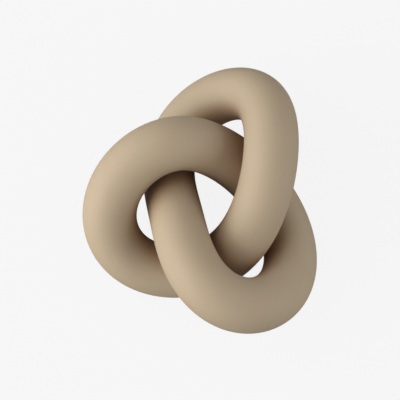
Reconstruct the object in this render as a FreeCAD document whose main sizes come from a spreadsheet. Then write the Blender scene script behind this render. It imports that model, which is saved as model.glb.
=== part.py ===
import FreeCAD, Part
import cmath
import math
import os
import Sketcher

# A metal knot sculpture: one round tube tied into a right-handed trefoil knot. It is made of
# three hollow castings, one to a lobe, that meet end to end over inner sleeves and are welded.
# It lies on three push-in rubber feet under its three lowest places.
# Lengths are in mm and bearings in degrees. Z is up, and the origin is on the table, under the
# middle of the knot's outline.

SIZES = (
    ("tube_diameter", 38.0, "outside of the tube"),
    ("tube_wall", 3.5, "wall of the castings"),
    ("strand_gap", 0.7, "least gap where one strand passes over another"),
    ("ring_radius", 53.8, "radius of the ring that the tube goes round twice"),
    ("lobe_swing", 19.2, "swing out to the lobe tips and in between them"),
    ("lobe_roundness", 4.0, "makes the lobe tips rounder"),
    ("lobe_breadth", 1.6, "makes the lobes broader"),
    ("hand_ripple", 1.4, "small unevenness of the shaping, quick along the tube"),
    ("hand_lean", 0.6, "small unevenness of the shaping, slow along the tube"),
    ("stretch_share", 0.105, "how much longer than round the outline is"),
    ("stretch_bearing", 23.0, "where the outline is longest, from the first lobe's tip"),
    ("table_bearing", 69.4, "how the knot is turned on the table"),
    ("sleeve_length", 16.0, "length of an inner sleeve"),
    ("sleeve_wall", 2.4, "wall of an inner sleeve"),
    ("sleeve_chamfer", 0.8, "chamfer at a sleeve's ends"),
    ("seat_depth", 1.0, "how deep a sleeve's seat is turned into the tube's wall"),
    ("seat_clearance", 0.1, "between a sleeve and its seat, all round and at its ends"),
    ("seam_spare", 2.0, "plain tube between a foot's boss and the nearest sleeve"),
    ("seam_straight", 8.0, "straight run of tube through a seam"),
    ("weld_root", 1.2, "width of a weld at the sleeve"),
    ("weld_face", 5.0, "width of a weld at the tube's outside"),
    ("foot_diameter", 12.0, "head of a rubber foot"),
    ("foot_show", 1.0, "how far a foot stands out below the tube"),
    ("foot_recess", 1.6, "depth of the flat that a foot sits in"),
    ("foot_chamfer", 0.4, "chamfer round a foot's face"),
    ("foot_clearance", 0.2, "between a foot's head and its recess, all round"),
    ("stem_diameter", 5.0, "stem of a foot"),
    ("stem_clearance", 0.1, "between a stem and its hole, all round and under the barb"),
    ("barb_diameter", 6.6, "barb that holds a foot inside the tube"),
    ("barb_length", 3.0, "length of the barb"),
    ("barb_tip_diameter", 3.0, "blunt end of the barb"),
    ("boss_diameter", 15.0, "boss inside the tube round a foot's hole"),
    ("boss_height", 4.0, "metal under a foot's barb, from the recess up"),
    ("overrun", 2.0, "how far a cutting tool runs past what it cuts"),
)

# Sizes that follow from those above, as the sheet works them out.
DERIVED = (
    ("tube_radius", "=tube_diameter / 2", "outside of the tube"),
    ("bore_radius", "=tube_radius - tube_wall", "inside of the castings"),
    ("seat_radius", "=bore_radius + seat_depth", "a sleeve's seat"),
    ("sleeve_radius", "=seat_radius - seat_clearance", "outside of a sleeve"),
    ("sleeve_bore", "=sleeve_radius - sleeve_wall", "inside of a sleeve"),
    ("sleeve_end_radius", "=sleeve_radius - sleeve_chamfer", "a sleeve's end face"),
    ("root_start", "=(weld_face - weld_root) / 2", "from a weld's edge to its root"),
    ("root_end", "=(weld_face + weld_root) / 2", "from a weld's edge to its root's far side"),
    ("groove_radius", "=tube_radius + overrun", "how far out a weld's groove is cut"),
    ("foot_seat", "=foot_show + foot_recess", "height of the flat that a foot sits against"),
    ("barb_start", "=foot_seat + boss_height + stem_clearance", "height of a barb's underside"),
    ("foot_top", "=barb_start + barb_length", "height of a foot's inner end"),
)

LOBES = ("top", "left", "right")
ARC_PAIRS_PER_LOBE = 8
TURN = 2 * math.pi
LOWEST_SHARE = 0.25       # the first lobe's lowest place, as a share of the whole way round
SAMPLES = 360             # places looked at to find the outline's box
STRAND_SAMPLES = 144      # places looked at to find the gap between strands
NEIGHBOUR_SHARE = 0.13    # places nearer than this along the tube aren't another strand
HALVINGS = 24
FIRST_GUESS = 1.0         # a bound size's value until the sheet's takes its place

UP = FreeCAD.Vector(0, 0, 1)


class Sizes:
    """The driving sizes, as plain numbers."""

    def __init__(self, sheet):
        for alias, _, _ in SIZES:
            setattr(self, alias, float(sheet.get(alias)))


class Route:
    """The tube's centreline, by angle: one whole turn of the angle goes once along the knot."""

    def __init__(self, size):
        self.terms = flat_terms(size)
        self.rise = 0.0
        self.rise = least_rise(self, size.tube_diameter + size.strand_gap, size.ring_radius)
        self.lift = size.foot_show + size.tube_diameter / 2 + self.rise
        self.middle = self.outline_middle()

    def flat(self, angle):
        """Place in the plane of the table, as a complex number, before it is centred."""
        return sum(length * cmath.exp(1j * turns * angle) for turns, length in self.terms.items())

    def raw(self, angle):
        flat = self.flat(angle)
        return (flat.real, flat.imag, self.rise * math.sin(3 * angle))

    def outline_middle(self):
        flats = [self.flat(TURN * i / SAMPLES) for i in range(SAMPLES)]
        across = [f.real for f in flats]
        along = [f.imag for f in flats]
        return complex(max(across) + min(across), max(along) + min(along)) / 2

    def place(self, angle):
        x, y, z = self.raw(angle)
        return FreeCAD.Vector(x - self.middle.real, y - self.middle.imag, z + self.lift)

    def velocity(self, angle):
        """How the place changes with the angle, in mm per radian."""
        flat = sum(1j * turns * length * cmath.exp(1j * turns * angle)
                   for turns, length in self.terms.items())
        return FreeCAD.Vector(flat.real, flat.imag, 3 * self.rise * math.cos(3 * angle))

    def heading(self, angle):
        return self.velocity(angle).normalize()


def flat_terms(size):
    """The outline as a sum of turning arms: turns for each turn of the angle, and the arm."""
    ring = {-2: size.ring_radius, 1: size.lobe_swing, -5: size.lobe_roundness, 4: size.lobe_breadth}
    terms = {turns: complex(length) for turns, length in ring.items()}
    stretch = cmath.rect(size.stretch_share, 2 * math.radians(size.stretch_bearing))
    for turns, length in ring.items():
        terms[-turns] = terms.get(-turns, 0) + stretch * length
    uneven = {
        -7: -size.hand_lean - 1j * size.hand_ripple,
        -5: -1j * size.hand_ripple,
        5: -1j * size.hand_ripple,
        -4: 1j * size.hand_lean,
        -1: 1j * size.hand_lean,
    }
    for turns, length in uneven.items():
        terms[turns] = terms.get(turns, 0) + length
    on_table = cmath.rect(1, math.radians(size.table_bearing))
    return {turns: length * on_table for turns, length in terms.items()}


def nearest_strands(route):
    """Least distance between two stretches of the centreline that aren't neighbours."""
    places = [route.raw(TURN * i / STRAND_SAMPLES) for i in range(STRAND_SAMPLES)]
    first = math.ceil(NEIGHBOUR_SHARE * STRAND_SAMPLES)
    least = math.inf
    for i, here in enumerate(places):
        last = min(STRAND_SAMPLES, i + STRAND_SAMPLES - first + 1)
        for there in places[i + first:last]:
            least = min(least, math.dist(here, there))
    return least


def least_rise(route, pitch, highest):
    """How far the strands must rise and fall for crossing strands to lie a pitch apart."""
    low, high = 0.0, highest
    for _ in range(HALVINGS):
        route.rise = (low + high) / 2
        if nearest_strands(route) < pitch:
            low = route.rise
        else:
            high = route.rise
    return high


def arc_between(start, corner, end):
    """The arc from start to end whose end tangents meet at corner."""
    chord_middle = (start + end) / 2
    half_chord = (end - start).Length / 2
    inward = corner - chord_middle
    radius = half_chord * (corner - start).Length / inward.Length
    height = radius - math.sqrt(radius ** 2 - half_chord ** 2)
    return Part.Arc(start, chord_middle + inward.normalize() * height, end).toShape()


def arc_pair(start, leave, end, arrive):
    """Two arcs that leave start and reach end along the headings given there."""
    step, both = end - start, leave + arrive
    spread = 4 - both.dot(both)
    along = step.dot(both)
    reach = (math.sqrt(along ** 2 + spread * step.dot(step)) - along) / spread
    first_corner, second_corner = start + leave * reach, end - arrive * reach
    meet = (first_corner + second_corner) / 2
    return [arc_between(start, first_corner, meet), arc_between(meet, second_corner, end)]


def lobe_edges(size, route, angle_from, angle_to):
    """A lobe's centreline: straight where it leaves and meets a seam, and arcs in between."""
    angles = [angle_from + (angle_to - angle_from) * i / ARC_PAIRS_PER_LOBE
              for i in range(ARC_PAIRS_PER_LOBE + 1)]
    places = [route.place(angle) for angle in angles]
    headings = [route.heading(angle) for angle in angles]
    first, last = places[0], places[-1]
    places[0] = first + headings[0] * (size.seam_straight / 2)
    places[-1] = last - headings[-1] * (size.seam_straight / 2)
    edges = [Part.makeLine(first, places[0])]
    for i in range(ARC_PAIRS_PER_LOBE):
        edges += arc_pair(places[i], headings[i], places[i + 1], headings[i + 1])
    return edges + [Part.makeLine(places[-1], last)]


def make_sheet(doc):
    sheet = doc.addObject("Spreadsheet::Sheet", "sizes")
    for row, (alias, value, note) in enumerate(SIZES + DERIVED, start=1):
        sheet.set(f"A{row}", str(value))
        sheet.setAlias(f"A{row}", alias)
        sheet.set(f"B{row}", note)
    doc.recompute()
    return sheet


def make_path(doc, name, edges):
    path = doc.addObject("Part::Feature", name)
    path.Shape = Part.Wire(edges)
    return path


def make_tube(doc, name, path, radius, placement):
    """A round bar along a path, with its radius bound to the sheet."""
    ring = doc.addObject("Part::Circle", name + "_section")
    ring.setExpression("Radius", radius)
    ring.Placement = placement
    tube = doc.addObject("Part::Sweep", name)
    tube.Sections = [ring]
    tube.Spine = (path, [f"Edge{i + 1}" for i in range(len(path.Shape.Edges))])
    tube.Solid = True
    tube.Frenet = False
    return tube


def make_cylinder(doc, name, radius, height, placement):
    cylinder = doc.addObject("Part::Cylinder", name)
    cylinder.setExpression("Radius", radius)
    cylinder.setExpression("Height", height)
    cylinder.Placement = placement
    return cylinder


def make_turned(doc, name, corners, placement):
    """A solid turned round Z. Each corner of its profile is a radius and a height, both bound
    to the sheet, and the placement then puts the solid where it goes."""
    profile = doc.addObject("Sketcher::SketchObject", name + "_profile")
    profile.Placement = FreeCAD.Placement(FreeCAD.Vector(0, 0, 0), FreeCAD.Rotation(90, 0, 90))
    count = len(corners)
    guess = [cmath.rect(1, TURN * i / count) for i in range(count)]
    for i, here in enumerate(guess):
        there = guess[(i + 1) % count]
        profile.addGeometry(Part.LineSegment(FreeCAD.Vector(here.real, here.imag, 0),
                                             FreeCAD.Vector(there.real, there.imag, 0)), False)
    for i in range(count):
        profile.addConstraint(Sketcher.Constraint("Coincident", i, 2, (i + 1) % count, 1))
    for i, corner in enumerate(corners):
        for kind, size, axis in zip(("DistanceX", "DistanceY"), corner, (-2, -1)):
            if size is None:
                profile.addConstraint(Sketcher.Constraint("PointOnObject", i, 1, axis))
                continue
            number = profile.addConstraint(Sketcher.Constraint(kind, -1, 1, i, 1, FIRST_GUESS))
            profile.setExpression(f"Constraints[{number}]", size)
    solid = doc.addObject("Part::Revolution", name)
    solid.Source = profile
    solid.Base = FreeCAD.Vector(0, 0, 0)
    solid.Axis = UP
    solid.Angle = 360
    solid.Solid = True
    solid.Placement = placement
    return solid


def join(doc, name, kind, parts):
    result = doc.addObject(kind, name)
    if kind == "Part::Cut":
        result.Base, result.Tool = parts
    else:
        result.Shapes = parts
    return result


class Seam:
    """Where two lobes meet: the sleeve inside, its seats and the weld's groove."""

    def __init__(self, size, route, before, after):
        self.name = f"{before}_{after}"
        self.tools = []
        lowest = TURN * (LOWEST_SHARE + LOBES.index(before) / len(LOBES))
        beyond = size.boss_diameter / 2 + size.seam_spare + size.sleeve_length / 2
        self.angle = lowest + beyond / route.velocity(lowest).Length
        self.place = route.place(self.angle)
        self.heading = route.heading(self.angle)
        self.turn = FreeCAD.Rotation(UP, self.heading)

    def at(self, along):
        """A placement whose Z follows the tube, along past the seam."""
        return FreeCAD.Placement(self.place + self.heading * along, self.turn)

    def make_sleeve(self, doc, size):
        corners = (("sizes.sleeve_bore", None),
                   ("sizes.sleeve_end_radius", None),
                   ("sizes.sleeve_radius", "sizes.sleeve_chamfer"),
                   ("sizes.sleeve_radius", "sizes.sleeve_length - sizes.sleeve_chamfer"),
                   ("sizes.sleeve_end_radius", "sizes.sleeve_length"),
                   ("sizes.sleeve_bore", "sizes.sleeve_length"))
        return make_turned(doc, f"{self.name}_sleeve", corners, self.at(-size.sleeve_length / 2))

    def make_weld(self, doc, size):
        """A ring that is narrow at the sleeve and wide at the tube's outside."""
        corners = (("sizes.sleeve_radius", "sizes.root_start"),
                   ("sizes.tube_radius", None),
                   ("sizes.tube_radius", "sizes.weld_face"),
                   ("sizes.sleeve_radius", "sizes.root_end"))
        return make_turned(doc, f"{self.name}_weld", corners, self.at(-size.weld_face / 2))

    def cuts(self, doc, size):
        """The sleeve's seat and the weld's groove, which both lobes are cut by."""
        if not self.tools:
            self.tools = [self.make_seat(doc, size), self.make_groove(doc, size)]
        return self.tools

    def make_seat(self, doc, size):
        start = self.at(-size.sleeve_length / 2 - size.seat_clearance)
        height = "sizes.sleeve_length + 2 * sizes.seat_clearance"
        return make_cylinder(doc, f"{self.name}_seat", "sizes.seat_radius", height, start)

    def make_groove(self, doc, size):
        """The weld's own ring, with a rim that runs on past the tube."""
        corners = (("sizes.sleeve_radius", "sizes.root_start"),
                   ("sizes.tube_radius", None),
                   ("sizes.groove_radius", None),
                   ("sizes.groove_radius", "sizes.weld_face"),
                   ("sizes.tube_radius", "sizes.weld_face"),
                   ("sizes.sleeve_radius", "sizes.root_end"))
        return make_turned(doc, f"{self.name}_groove", corners, self.at(-size.weld_face / 2))


class Foot:
    """A rubber foot under a lobe's lowest place, and what the lobe has for it."""

    def __init__(self, route, lobe):
        self.name = f"{lobe}_foot"
        angle = TURN * (LOWEST_SHARE + LOBES.index(lobe) / len(LOBES))
        place = route.place(angle)
        self.x, self.y = place.x, place.y

    def at(self, height):
        return FreeCAD.Placement(FreeCAD.Vector(self.x, self.y, height), FreeCAD.Rotation())

    def make_rubber(self, doc):
        """A head with a chamfered face, a stem, and a barb that tapers to its end."""
        head, stem = "sizes.foot_diameter / 2", "sizes.stem_diameter / 2"
        corners = ((None, None),
                   (f"{head} - sizes.foot_chamfer", None),
                   (head, "sizes.foot_chamfer"),
                   (head, "sizes.foot_seat"),
                   (stem, "sizes.foot_seat"),
                   (stem, "sizes.barb_start"),
                   ("sizes.barb_diameter / 2", "sizes.barb_start"),
                   ("sizes.barb_tip_diameter / 2", "sizes.foot_top"),
                   (None, "sizes.foot_top"))
        return make_turned(doc, self.name, corners, self.at(0))

    def make_recess(self, doc, size):
        radius = "sizes.foot_diameter / 2 + sizes.foot_clearance"
        height = "sizes.foot_recess + sizes.overrun"
        bottom = self.at(size.foot_show - size.overrun)
        return make_cylinder(doc, f"{self.name}_recess", radius, height, bottom)

    def make_hole(self, doc, size):
        radius = "sizes.stem_diameter / 2 + sizes.stem_clearance"
        height = "sizes.foot_recess + sizes.boss_height + 2 * sizes.overrun"
        return make_cylinder(doc, f"{self.name}_hole", radius, height,
                             self.at(size.foot_show - size.overrun))

    def make_boss(self, doc, size):
        return make_cylinder(doc, f"{self.name}_boss", "sizes.boss_diameter / 2",
                             "sizes.foot_recess + sizes.boss_height", self.at(size.foot_show))


def make_lobe(doc, size, route, name, seam_before, seam_after, cuts):
    """A hollow casting from one seam to the next, with its foot's boss and hole."""
    start, end = seam_before.angle, seam_after.angle
    if start > end:
        start -= TURN
    path = make_path(doc, f"{name}_centreline", lobe_edges(size, route, start, end))
    outer = make_tube(doc, f"{name}_outside", path, "sizes.tube_radius", seam_before.at(0))
    bore = make_tube(doc, f"{name}_bore", path, "sizes.bore_radius", seam_before.at(0))
    foot = Foot(route, name)
    hollow = join(doc, f"{name}_hollow", "Part::Cut", (outer, bore))
    boss = join(doc, f"{name}_boss", "Part::MultiCommon", [outer, foot.make_boss(doc, size)])
    casting = join(doc, f"{name}_casting", "Part::MultiFuse", [hollow, boss])
    tools = cuts + [foot.make_recess(doc, size), foot.make_hole(doc, size)]
    machining = join(doc, f"{name}_machining", "Part::MultiFuse", tools)
    return [join(doc, f"{name}_lobe", "Part::Cut", (casting, machining)), foot.make_rubber(doc)]


def build(doc):
    """All the sub-parts: the lobes and their feet, then the sleeves and the welds."""
    size = Sizes(make_sheet(doc))
    route = Route(size)
    seams = [Seam(size, route, lobe, LOBES[(i + 1) % len(LOBES)]) for i, lobe in enumerate(LOBES)]
    parts = []
    for i, lobe in enumerate(LOBES):
        cuts = []
        for seam in (seams[i - 1], seams[i]):
            cuts += seam.cuts(doc, size)
        parts += make_lobe(doc, size, route, lobe, seams[i - 1], seams[i], cuts)
    for seam in seams:
        parts += [seam.make_sleeve(doc, size), seam.make_weld(doc, size)]
    doc.recompute()
    report(size, route)
    return parts


def report(size, route):
    gap = nearest_strands(route) - size.tube_diameter
    print(f"strands rise and fall by {route.rise:.2f} mm and clear each other by {gap:.2f} mm")


def check(doc, parts):
    for item in doc.Objects:
        if {"Invalid", "Error"} & set(item.State):
            raise RuntimeError(f"{item.Name} failed: {item.State}")
    for part in parts:
        if part.Shape.isNull() or not part.Shape.isValid():
            raise RuntimeError(f"{part.Label} has no valid shape")


def write(parts):
    os.makedirs("parts", exist_ok=True)
    for part in parts:
        part.Shape.exportStep(f"parts/{part.Label}.step")


doc = FreeCAD.newDocument("knot")
parts = build(doc)
check(doc, parts)
write(parts)
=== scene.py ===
import cmath
import math

import bpy
from mathutils import Matrix, Vector


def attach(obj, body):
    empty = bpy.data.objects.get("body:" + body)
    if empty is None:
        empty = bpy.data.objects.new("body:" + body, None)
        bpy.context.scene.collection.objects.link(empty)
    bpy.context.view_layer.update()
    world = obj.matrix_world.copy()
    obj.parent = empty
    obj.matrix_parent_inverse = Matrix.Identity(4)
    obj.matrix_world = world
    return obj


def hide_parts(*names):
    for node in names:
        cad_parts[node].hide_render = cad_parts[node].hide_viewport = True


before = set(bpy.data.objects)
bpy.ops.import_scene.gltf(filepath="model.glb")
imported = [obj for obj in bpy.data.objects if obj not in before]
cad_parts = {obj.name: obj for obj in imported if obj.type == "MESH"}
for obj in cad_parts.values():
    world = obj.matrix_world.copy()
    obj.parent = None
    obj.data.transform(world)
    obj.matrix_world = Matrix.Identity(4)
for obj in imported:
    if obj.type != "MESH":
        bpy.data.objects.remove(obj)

# The knot's coated skin, its floor, its light and the camera that took the photo.
# Lengths are in metres and bearings in degrees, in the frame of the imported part.

MM = 0.001
TURN = 2 * math.pi
UP = Vector((0, 0, 1))

# The tube and its route, as in the part's own sizes.
TUBE_DIAMETER = 38 * MM
TUBE_WALL = 3.5 * MM
RING_RADIUS = 53.8 * MM
LOBE_SWING = 19.2 * MM
LOBE_ROUNDNESS = 4.0 * MM
LOBE_BREADTH = 1.6 * MM
HAND_RIPPLE = 1.4 * MM
HAND_LEAN = 0.6 * MM
STRAND_RISE = 23.83 * MM
STRETCH_SHARE = 0.105
STRETCH_BEARING = 23.0
TABLE_BEARING = 69.4
FOOT_SHOW = 1.0 * MM
BEYOND_FOOT = 17.5 * MM       # from a lobe's lowest place to its seam, along the tube
SLEEVE_LENGTH = 16.0 * MM
SEAT_DEPTH = 1.0 * MM
SEAT_CLEARANCE = 0.1 * MM
WELD_FACE = 5.0 * MM
WELD_ROOT = 1.2 * MM

SKIN_INSET = 0.06 * MM        # keeps the skin inside the part's box
SKIN_RADIUS = TUBE_DIAMETER / 2 - SKIN_INSET
BORE_RADIUS = TUBE_DIAMETER / 2 - TUBE_WALL
SEAT_RADIUS = BORE_RADIUS + SEAT_DEPTH
SLEEVE_RADIUS = SEAT_RADIUS - SEAT_CLEARANCE
SEAT_REACH = SLEEVE_LENGTH / 2 + SEAT_CLEARANCE
FACE_REACH = WELD_FACE / 2
ROOT_REACH = WELD_ROOT / 2

LOBES = ("top", "left", "right")
RISES = len(LOBES)            # how often the tube rises and dips on its way round
LOWEST_SHARE = 0.25           # the first lobe's lowest place, as a share of the way round
ROUTE_SAMPLES = 3600          # places looked at to find the outline's middle
SPAN_SAMPLES = 96             # places looked at to measure a stretch of the tube
SIDES = 72                    # faces round the tube
RING_STEP = 2.0 * MM          # between the rings of vertices along the tube

# The camera, from matching the route to the photo's outline.
PHOTO_PIXELS = 400
FOCAL_PIXELS = 1018.0
SENSOR_WIDTH = 36.0           # mm, as Blender counts its lenses
CAMERA_ELEVATION = 77.0
KNOT_RIGHT_OF_AXIS = 7.76 * MM
KNOT_BELOW_AXIS = 1.12 * MM
KNOT_FROM_CAMERA = 718.6 * MM


def flat_terms():
    """The outline as a sum of turning arms: turns for each turn of the angle, and the arm."""
    ring = {-2: RING_RADIUS, 1: LOBE_SWING, -5: LOBE_ROUNDNESS, 4: LOBE_BREADTH}
    terms = {turns: complex(length) for turns, length in ring.items()}
    stretch = cmath.rect(STRETCH_SHARE, 2 * math.radians(STRETCH_BEARING))
    for turns, length in ring.items():
        terms[-turns] = terms.get(-turns, 0) + stretch * length
    uneven = {
        -7: -HAND_LEAN - 1j * HAND_RIPPLE,
        -5: -1j * HAND_RIPPLE,
        5: -1j * HAND_RIPPLE,
        -4: 1j * HAND_LEAN,
        -1: 1j * HAND_LEAN,
    }
    for turns, length in uneven.items():
        terms[turns] = terms.get(turns, 0) + length
    on_table = cmath.rect(1, math.radians(TABLE_BEARING))
    return {turns: length * on_table for turns, length in terms.items()}


TERMS = flat_terms()


def flat(angle):
    return sum(length * cmath.exp(1j * turns * angle) for turns, length in TERMS.items())


def outline_middle():
    flats = [flat(TURN * i / ROUTE_SAMPLES) for i in range(ROUTE_SAMPLES)]
    across = [f.real for f in flats]
    along = [f.imag for f in flats]
    return complex(max(across) + min(across), max(along) + min(along)) / 2


MIDDLE = outline_middle()
KNOT_MIDDLE = Vector((-MIDDLE.real, -MIDDLE.imag, FOOT_SHOW + TUBE_DIAMETER / 2 + STRAND_RISE))


def place(angle):
    here = flat(angle)
    return KNOT_MIDDLE + Vector((here.real, here.imag, STRAND_RISE * math.sin(RISES * angle)))


def velocity(angle):
    here = sum(
        1j * turns * length * cmath.exp(1j * turns * angle) for turns, length in TERMS.items()
    )
    return Vector((here.real, here.imag, RISES * STRAND_RISE * math.cos(RISES * angle)))


def lowest(lobe):
    """The angle of a lobe's lowest place, where its foot is."""
    return TURN * (LOWEST_SHARE + LOBES.index(lobe) / len(LOBES))


def seam(lobe):
    """The angle of the seam where a lobe ends."""
    return lowest(lobe) + BEYOND_FOOT / velocity(lowest(lobe)).length


def beside(angle, length):
    """The angle a short length along the tube from another."""
    return angle + length / velocity(angle).length


def even_angles(start, end, count):
    return [start + (end - start) * i / count for i in range(count + 1)]


def route_length(start, end):
    places = [place(angle) for angle in even_angles(start, end, SPAN_SAMPLES)]
    return sum((b - a).length for a, b in zip(places, places[1:]))


def rings_between(start, end, radius, facing):
    """Rings of the wall: each one's angle, its radius, and 1 to face out or -1 to face in."""
    count = max(1, round(route_length(start, end) / RING_STEP))
    return [(angle, radius, facing) for angle in even_angles(start, end, count)]


def wall(name, rings):
    """A closed stretch of the tube's wall: exact normals along it, so that stretches meet
    unseen, and flat steps between the radii."""
    verts, normals, faces, along = [], [], [], []
    for angle, radius, facing in rings:
        middle, ahead = place(angle), velocity(angle).normalized()
        side = ahead.cross(UP).normalized()
        over = side.cross(ahead)
        for j in range(SIDES):
            out = side * math.cos(TURN * j / SIDES) + over * math.sin(TURN * j / SIDES)
            verts.append(middle + out * radius)
            normals.append(out * facing)
    for i in range(len(rings)):
        here, there = i * SIDES, (i + 1) % len(rings) * SIDES
        for j in range(SIDES):
            beyond = (j + 1) % SIDES
            faces.append((here + j, there + j, there + beyond, here + beyond))
            along.append(rings[i][1] == rings[(i + 1) % len(rings)][1])
    mesh = bpy.data.meshes.new(name)
    mesh.from_pydata(verts, [], faces)
    mesh.shade_smooth()
    corners = []
    for face, is_along in zip(mesh.polygons, along):
        corners += [normals[v] if is_along else face.normal.copy() for v in face.vertices]
    mesh.normals_split_custom_set(corners)
    piece = bpy.data.objects.new(name, mesh)
    bpy.context.collection.objects.link(piece)
    return piece


def lobe_wall(name, start, end):
    """A casting from seam to seam: outside, flanks under the welds, seats and bore."""
    return wall(name, (
        rings_between(beside(start, FACE_REACH), beside(end, -FACE_REACH), SKIN_RADIUS, 1)
        + rings_between(beside(end, -ROOT_REACH), beside(end, -SEAT_REACH), SEAT_RADIUS, -1)
        + rings_between(beside(end, -SEAT_REACH), beside(start, SEAT_REACH), BORE_RADIUS, -1)
        + rings_between(beside(start, SEAT_REACH), beside(start, ROOT_REACH), SEAT_RADIUS, -1)
    ))


def weld_wall(name, middle):
    """A weld: wide at the tube's outside and narrow at the sleeve."""
    return wall(name, (
        rings_between(beside(middle, -FACE_REACH), beside(middle, FACE_REACH), SKIN_RADIUS, 1)
        + rings_between(beside(middle, ROOT_REACH), beside(middle, -ROOT_REACH), SLEEVE_RADIUS, -1)
    ))


def new_material(name):
    material = bpy.data.materials.new(name)
    material.use_nodes = True
    tree = material.node_tree
    return material, tree, tree.nodes["Principled BSDF"]


NOISE_RANGE = (0.3, 0.7)      # where nearly all of a noise's values lie
PLAIN_DETAIL, MORE_DETAIL, MOST_DETAIL = 2.0, 3.0, 4.0
EVEN_ROUGHNESS = 0.5


def noise(tree, size, detail=PLAIN_DETAIL, roughness=EVEN_ROUGHNESS):
    """Soft random values with features about this far across."""
    where = tree.nodes.new("ShaderNodeTexCoord")
    node = tree.nodes.new("ShaderNodeTexNoise")
    node.inputs["Scale"].default_value = 1 / size
    node.inputs["Detail"].default_value = detail
    node.inputs["Roughness"].default_value = roughness
    tree.links.new(where.outputs["Object"], node.inputs["Vector"])
    return node.outputs["Fac"]


def ramp(tree, value, low, high, stops=NOISE_RANGE):
    """Blends two colours by a value, between the stops."""
    node = tree.nodes.new("ShaderNodeValToRGB")
    for element, stop, color in zip(node.color_ramp.elements, stops, (low, high)):
        element.position = stop
        element.color = (*color, 1)
    tree.links.new(value, node.inputs["Fac"])
    return node.outputs["Color"]


def spread(tree, value, low, high):
    """Turns a noise into a number between two others."""
    node = tree.nodes.new("ShaderNodeMapRange")
    node.inputs["From Min"].default_value = NOISE_RANGE[0]
    node.inputs["From Max"].default_value = NOISE_RANGE[1]
    node.inputs["To Min"].default_value = low
    node.inputs["To Max"].default_value = high
    tree.links.new(value, node.inputs["Value"])
    return node.outputs["Result"]


def multiply(tree, first, second, share=1.0):
    node = tree.nodes.new("ShaderNodeMix")
    node.data_type = "RGBA"
    node.blend_type = "MULTIPLY"
    node.inputs["Factor"].default_value = share
    tree.links.new(first, node.inputs["A"])
    tree.links.new(second, node.inputs["B"])
    return node.outputs["Result"]


def bump(tree, height, distance, below=None):
    """Small relief of this height, on top of any other relief."""
    node = tree.nodes.new("ShaderNodeBump")
    node.inputs["Distance"].default_value = distance
    node.inputs["Strength"].default_value = 1.0
    tree.links.new(height, node.inputs["Height"])
    if below:
        tree.links.new(below, node.inputs["Normal"])
    return node.outputs["Normal"]


# The coat: sizes of its features across the surface, and how high they stand.
CLOUD_SIZE, GRAIN_SIZE, GLOSS_SIZE = 110 * MM, 0.7 * MM, 2.0 * MM
WAVE_SIZE, WAVE_HEIGHT = 45 * MM, 0.25 * MM
PEEL_SIZE, PEEL_HEIGHT = 2.4 * MM, 0.012 * MM
SPECK_SIZE, SPECK_HEIGHT = 0.45 * MM, 0.006 * MM
WHITE = (1.0, 1.0, 1.0)
COAT_TONES = (0.404, 0.314, 0.211), (0.434, 0.340, 0.231)
GRAIN_TONES, GRAIN_SHARE, GRAIN_ROUGHNESS = ((0.90, 0.90, 0.90), WHITE), 0.5, 0.7
COAT_GLOSS, COAT_SPECULAR = (0.56, 0.68), 0.35

# Painted shade: where another strand stands close, the coat's colour is painted browner and darker,
# standing in for the shade that falls there.
PAINTED_SHADE_TINT = (0.76, 0.60, 0.51)
PAINTED_SHADE_STOPS = (0.26, 0.70)
PAINTED_SHADE_REACH = 45 * MM
PAINTED_SHADE_SAMPLES = 16

# The feet's rubber.
RUBBER_TONES, RUBBER_TONE_SIZE = ((0.012, 0.012, 0.012), (0.022, 0.021, 0.020)), 3.3 * MM
RUBBER_GLOSS, RUBBER_GLOSS_SIZE = (0.72, 0.86), 1.1 * MM
RUBBER_GRAIN_SIZE, RUBBER_GRAIN_HEIGHT = 0.55 * MM, 0.02 * MM

# The sleeves' steel.
STEEL_TONES, STEEL_TONE_SIZE = ((0.42, 0.42, 0.43), (0.55, 0.55, 0.56)), 8.3 * MM
STEEL_GLOSS, STEEL_GLOSS_SIZE = (0.28, 0.42), 0.83 * MM
STEEL_GRAIN_SIZE, STEEL_GRAIN_HEIGHT = 0.4 * MM, 0.004 * MM


def painted_shade_mask(tree, reach):
    """The mask of the painted shade: 1 in the open, towards 0 where another strand stands close
    over the surface.
    """
    node = tree.nodes.new("ShaderNodeAmbientOcclusion")
    node.samples = PAINTED_SHADE_SAMPLES
    node.inputs["Distance"].default_value = reach
    return node.outputs["AO"]


def powder_coat():
    """Matt sand coat: soft clouds, fine grain, orange peel, and painted shade that makes its colour
    browner and darker where strands stand close.
    """
    material, tree, shader = new_material("sand_powder_coat_and_painted_shade")
    clouds = ramp(tree, noise(tree, CLOUD_SIZE, MORE_DETAIL), *COAT_TONES)
    grain = ramp(tree, noise(tree, GRAIN_SIZE, MORE_DETAIL, GRAIN_ROUGHNESS), *GRAIN_TONES)
    grained = multiply(tree, clouds, grain, GRAIN_SHARE)
    # Painted shade: the base colour is darkened and browned by an ambient occlusion mask.
    painted_shade = ramp(tree, painted_shade_mask(tree, PAINTED_SHADE_REACH), PAINTED_SHADE_TINT, WHITE, PAINTED_SHADE_STOPS)
    tree.links.new(multiply(tree, grained, painted_shade), shader.inputs["Base Color"])
    gloss = spread(tree, noise(tree, GLOSS_SIZE, MORE_DETAIL), *COAT_GLOSS)
    tree.links.new(gloss, shader.inputs["Roughness"])
    shader.inputs["Specular IOR Level"].default_value = COAT_SPECULAR
    waves = bump(tree, noise(tree, WAVE_SIZE), WAVE_HEIGHT)
    peel = bump(tree, noise(tree, PEEL_SIZE), PEEL_HEIGHT, waves)
    specks = bump(tree, noise(tree, SPECK_SIZE), SPECK_HEIGHT, peel)
    tree.links.new(specks, shader.inputs["Normal"])
    return material


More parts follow.
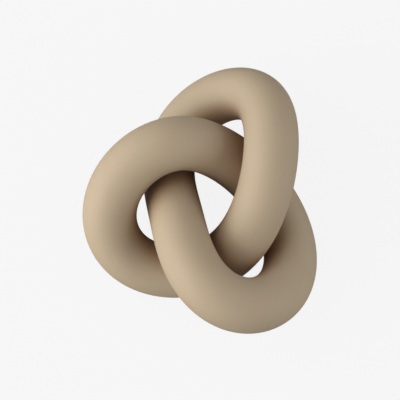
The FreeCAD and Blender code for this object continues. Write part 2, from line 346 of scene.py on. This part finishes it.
def foot_rubber():
    material, tree, shader = new_material("black_rubber")
    tone = ramp(tree, noise(tree, RUBBER_TONE_SIZE, MOST_DETAIL), *RUBBER_TONES)
    tree.links.new(tone, shader.inputs["Base Color"])
    gloss = spread(tree, noise(tree, RUBBER_GLOSS_SIZE, MORE_DETAIL), *RUBBER_GLOSS)
    tree.links.new(gloss, shader.inputs["Roughness"])
    grain = bump(tree, noise(tree, RUBBER_GRAIN_SIZE, MORE_DETAIL), RUBBER_GRAIN_HEIGHT)
    tree.links.new(grain, shader.inputs["Normal"])
    return material


def turned_steel():
    material, tree, shader = new_material("turned_steel")
    tone = ramp(tree, noise(tree, STEEL_TONE_SIZE, MOST_DETAIL), *STEEL_TONES)
    tree.links.new(tone, shader.inputs["Base Color"])
    gloss = spread(tree, noise(tree, STEEL_GLOSS_SIZE, MORE_DETAIL), *STEEL_GLOSS)
    tree.links.new(gloss, shader.inputs["Roughness"])
    grain = bump(tree, noise(tree, STEEL_GRAIN_SIZE), STEEL_GRAIN_HEIGHT)
    tree.links.new(grain, shader.inputs["Normal"])
    shader.inputs["Metallic"].default_value = 1.0
    return material


def give(piece, material):
    piece.data.materials.clear()
    piece.data.materials.append(material)


def put_over(piece, node, material):
    """A detailed piece in place of a node of the part."""
    give(piece, material)
    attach(piece, "root")
    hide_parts(node)


def dress():
    """Skins over the castings and welds, and better materials on the sleeves and feet."""
    coat, rubber, steel = powder_coat(), foot_rubber(), turned_steel()
    for i, lobe in enumerate(LOBES):
        before, after = LOBES[i - 1], LOBES[(i + 1) % len(LOBES)]
        start, end = seam(before), seam(lobe)
        if start > end:
            start -= TURN
        casting = lobe_wall(f"{lobe}_lobe_skin", start, end)
        put_over(casting, f"{lobe}_lobe", coat)
        weld = weld_wall(f"{lobe}_{after}_weld_skin", end)
        put_over(weld, f"{lobe}_{after}_weld", coat)
        give(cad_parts[f"{lobe}_{after}_sleeve"], steel)
        give(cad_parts[f"{lobe}_foot"], rubber)


FLOOR_SIZE = 6.0
BACKGROUND = 0.922            # the photo's pale ground, as it shows
FLOOR_TONE = 0.30             # what the floor throws back up at the knot
OPEN_LIGHT = 1.05             # the light on the open floor
SHADOW_SHARE = 0.045          # how much of the floor's tone near the knot is lit, and so shaded
SHADOW_REACH = 0.15           # round the knot's middle the share is whole as far as this,
SHADOW_END = 0.50             # and beyond this it is nothing


def gray(tone):
    """A colour socket's value."""
    return (tone, tone, tone, 1)


def shadow_share(tree):
    """The lit share of the floor's tone, fading out all round the knot."""
    where = tree.nodes.new("ShaderNodeTexCoord")
    away = tree.nodes.new("ShaderNodeVectorMath")
    away.operation = "LENGTH"
    fade = tree.nodes.new("ShaderNodeMapRange")
    fade.interpolation_type = "SMOOTHSTEP"
    fade.inputs["From Min"].default_value = SHADOW_REACH
    fade.inputs["From Max"].default_value = SHADOW_END
    fade.inputs["To Min"].default_value = SHADOW_SHARE
    fade.inputs["To Max"].default_value = 0.0
    tree.links.new(where.outputs["Object"], away.inputs["Vector"])
    tree.links.new(away.outputs["Value"], fade.inputs["Value"])
    return fade.outputs["Result"]


def blend_shaders(tree, first, second, share):
    node = tree.nodes.new("ShaderNodeMixShader")
    tree.links.new(share, node.inputs["Fac"])
    tree.links.new(first, node.inputs[1])
    tree.links.new(second, node.inputs[2])
    return node.outputs["Shader"]


def make_floor():
    """A pale floor that keeps a faint shadow of the knot."""
    bpy.ops.mesh.primitive_plane_add(size=FLOOR_SIZE)
    floor = bpy.context.object
    floor.name = "floor"
    material, tree, thrown = new_material("pale_floor")
    thrown.inputs["Base Color"].default_value = gray(FLOOR_TONE)
    thrown.inputs["Roughness"].default_value = 1.0
    thrown.inputs["Specular IOR Level"].default_value = 0.0
    lit = tree.nodes.new("ShaderNodeBsdfDiffuse")
    lit.inputs["Color"].default_value = gray(BACKGROUND / OPEN_LIGHT)
    glow = tree.nodes.new("ShaderNodeEmission")
    glow.inputs["Color"].default_value = gray(BACKGROUND)
    seen = blend_shaders(tree, glow.outputs["Emission"], lit.outputs["BSDF"], shadow_share(tree))
    is_camera = tree.nodes.new("ShaderNodeLightPath").outputs["Is Camera Ray"]
    either = blend_shaders(tree, thrown.outputs["BSDF"], seen, is_camera)
    tree.links.new(either, tree.nodes["Material Output"].inputs["Surface"])
    floor.data.materials.append(material)


# Each lamp's bearing (0 is behind the knot, 90 to its right), elevation and power in watts.
LAMPS = (
    ("key_left_front", 247.5, 22, 13.0),
    ("key_left_back", 292.5, 22, 8.1),
    ("key_left_high", 278, 55, 4.7),
    ("fill_right_back", 67.5, 22, 4.2),
    ("fill_right", 112.5, 22, 5.0),
    ("fill_right_front", 157.5, 22, 1.7),
)
LAMP_DISTANCE = 1.3
LAMP_SIZE = 0.9
SKY_STRENGTH = 0.24


def lamp(name, bearing, elevation, power):
    """A soft square lamp that faces the knot."""
    data = bpy.data.lights.new(name, "AREA")
    data.shape = "SQUARE"
    data.size = LAMP_SIZE
    data.energy = power
    item = bpy.data.objects.new(name, data)
    flat_share, up_share = math.cos(math.radians(elevation)), math.sin(math.radians(elevation))
    toward = Vector((math.sin(math.radians(bearing)) * flat_share,
                     math.cos(math.radians(bearing)) * flat_share, up_share))
    item.location = KNOT_MIDDLE + toward * LAMP_DISTANCE
    item.rotation_euler = toward.to_track_quat("Z", "Y").to_euler()
    bpy.context.collection.objects.link(item)


def make_world():
    """An even white sky that views see as the pale ground."""
    world = bpy.data.worlds.new("studio")
    bpy.context.scene.world = world
    world.use_nodes = True
    tree = world.node_tree
    tree.nodes.clear()
    fill = tree.nodes.new("ShaderNodeBackground")
    fill.inputs["Color"].default_value = gray(1)
    fill.inputs["Strength"].default_value = SKY_STRENGTH
    shown = tree.nodes.new("ShaderNodeBackground")
    shown.inputs["Color"].default_value = gray(BACKGROUND)
    is_camera = tree.nodes.new("ShaderNodeLightPath").outputs["Is Camera Ray"]
    either = blend_shaders(tree, fill.outputs["Background"], shown.outputs["Background"], is_camera)
    output = tree.nodes.new("ShaderNodeOutputWorld")
    tree.links.new(either, output.inputs["Surface"])


def light():
    for settings in LAMPS:
        lamp(*settings)
    make_world()


def make_camera():
    """The camera that took the photo, in front of the knot and looking steeply down."""
    data = bpy.data.cameras.new("camera")
    data.sensor_width = SENSOR_WIDTH
    data.lens = FOCAL_PIXELS * SENSOR_WIDTH / PHOTO_PIXELS
    camera = bpy.data.objects.new("camera", data)
    turn = Matrix.Rotation(TURN / 4 - math.radians(CAMERA_ELEVATION), 3, "X")
    knot_in_view = Vector((KNOT_RIGHT_OF_AXIS, -KNOT_BELOW_AXIS, -KNOT_FROM_CAMERA))
    camera.location = KNOT_MIDDLE - turn @ knot_in_view
    camera.rotation_euler = turn.to_euler()
    bpy.context.collection.objects.link(camera)
    bpy.context.scene.camera = camera


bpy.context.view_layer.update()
dress()
make_floor()
light()
make_camera()
bpy.context.scene.view_settings.view_transform = "Standard"
